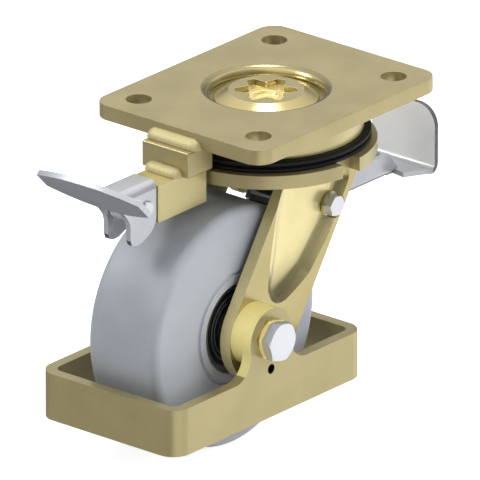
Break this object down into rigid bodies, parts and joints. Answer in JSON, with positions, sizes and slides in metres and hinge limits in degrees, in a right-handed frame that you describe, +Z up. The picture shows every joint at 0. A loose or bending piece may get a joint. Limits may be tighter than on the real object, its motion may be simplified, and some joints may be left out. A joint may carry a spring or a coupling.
{
  "type": "swivel castor",
  "caption": "Heavy swivel castor with a bolted top plate, directional lock, foot brake pedal and a welded foot guard round a solid wheel.",
  "frame": {"origin": "centre of the top plate's upper face, on the king pin's axis", "axes": "+X rolling direction towards the brake pedal, +Y along the axle towards its nut, +Z up"},
  "size_m": [0.2609, 0.1147, 0.17],
  "materials": {
    "gold_zinc": "satin",
    "weld": "satin",
    "silver_zinc": "satin",
    "bearing_steel": "satin",
    "black_rubber": "matte",
    "grey_nylon": "satin"
  },
  "bodies": {
    "base": {"top_plate": "gold_zinc", "king_pin": "gold_zinc", "upper_race": "gold_zinc", "swivel_balls": "bearing_steel", "lower_balls": "bearing_steel", "lower_race": "bearing_steel", "king_nut": "bearing_steel", "dust_seal": "black_rubber", "lock_spacer": "gold_zinc", "lock_housing": "gold_zinc", "weld_beads": "weld", "lock_spring": "bearing_steel"},
    "fork": {"crown_disc": "gold_zinc", "near_leg": "gold_zinc", "far_leg": "gold_zinc", "leg_bosses": "gold_zinc", "foot_guard": "gold_zinc", "axle_bolt": "silver_zinc", "axle_thin_nut": "gold_zinc", "axle_washer": "silver_zinc", "axle_nut": "silver_zinc", "axle_tube": "bearing_steel", "axle_spacers": "bearing_steel", "bearing_inner_rings": "bearing_steel", "brake_pivot_bolt": "silver_zinc", "brake_pivot_nut": "silver_zinc", "brake_pivot_tube": "bearing_steel"},
    "wheel": {"wheel": "grey_nylon", "bearing_outer_rings": "bearing_steel", "bearing_balls": "bearing_steel", "bearing_seals": "black_rubber"},
    "pedal": {"brake_pedal": "silver_zinc", "brake_shoe": "black_rubber", "brake_rivets": "silver_zinc"},
    "lock_bolt": {"lock_bolt": "silver_zinc"},
    "lever_pin": {"lever_pin": "silver_zinc"},
    "lever": {"lock_lever": "silver_zinc"}
  },
  "joints": [
    {"name": "swivel", "type": "hinge", "parent": "base", "child": "fork", "pos_m": [0, 0, 0], "axis": [0, 0, 1], "continuous": true},
    {"name": "wheel_spin", "type": "hinge", "parent": "fork", "child": "wheel", "pos_m": [-0.05, 0, -0.1075], "axis": [0, 1, 0], "continuous": true},
    {"name": "pedal_hinge", "type": "hinge", "parent": "fork", "child": "pedal", "pos_m": [0.0156, 0, -0.0598], "axis": [0, 1, 0], "range_deg": [0, 5.6]},
    {"name": "bolt_slide", "type": "slide", "parent": "base", "child": "lock_bolt", "axis": [-1, 0, 0], "range_m": [-0.0064, 0], "deforming": ["lock_spring"]},
    {"name": "pin_slide", "type": "slide", "parent": "base", "child": "lever_pin", "axis": [-1, 0, 0], "range_m": [0, 0.00641]},
    {"name": "lever_hinge", "type": "hinge", "parent": "lever_pin", "child": "lever", "pos_m": [-0.1024, 0, -0.0313], "axis": [0, -1, 0], "range_deg": [0, 63]}
  ],
  "couplings": [
    {"joint": "pin_slide", "follows": "lever_hinge", "m_per_rad": 0.0058205}
  ]
}
